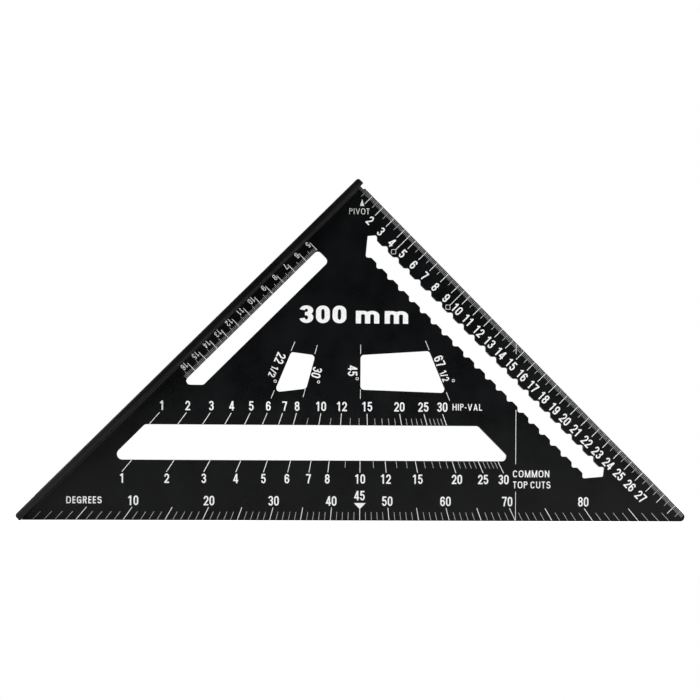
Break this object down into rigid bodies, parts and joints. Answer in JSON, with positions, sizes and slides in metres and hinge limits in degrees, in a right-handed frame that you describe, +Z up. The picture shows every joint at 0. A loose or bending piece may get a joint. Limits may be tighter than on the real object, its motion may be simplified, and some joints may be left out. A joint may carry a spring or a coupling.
{
  "type": "speed square",
  "caption": "Rafter square: a triangular blade with layout slots and a toothed scribing slot, set square into a T-shaped fence.",
  "frame": {"origin": "pivot corner: on the fence's inner face, level with the ruler edge and half-way through the blade", "axes": "+X along the hypotenuse edge away from the fence, +Y from the front face to the back face, +Z up, square to the hypotenuse edge"},
  "size_m": [0.4298, 0.025, 0.2186],
  "materials": {
    "blade_coat": "fine-grained satin black coat on aluminium plate",
    "fence_coat": "satin black coat on an aluminium bar, slightly smoother than the blade",
    "white_marking": "matte white filled marking",
    "grey_marking": "matte grey fine graduation"
  },
  "bodies": {
    "root": {"blade": "blade_coat", "fence": "fence_coat"}
  },
  "joints": []
}
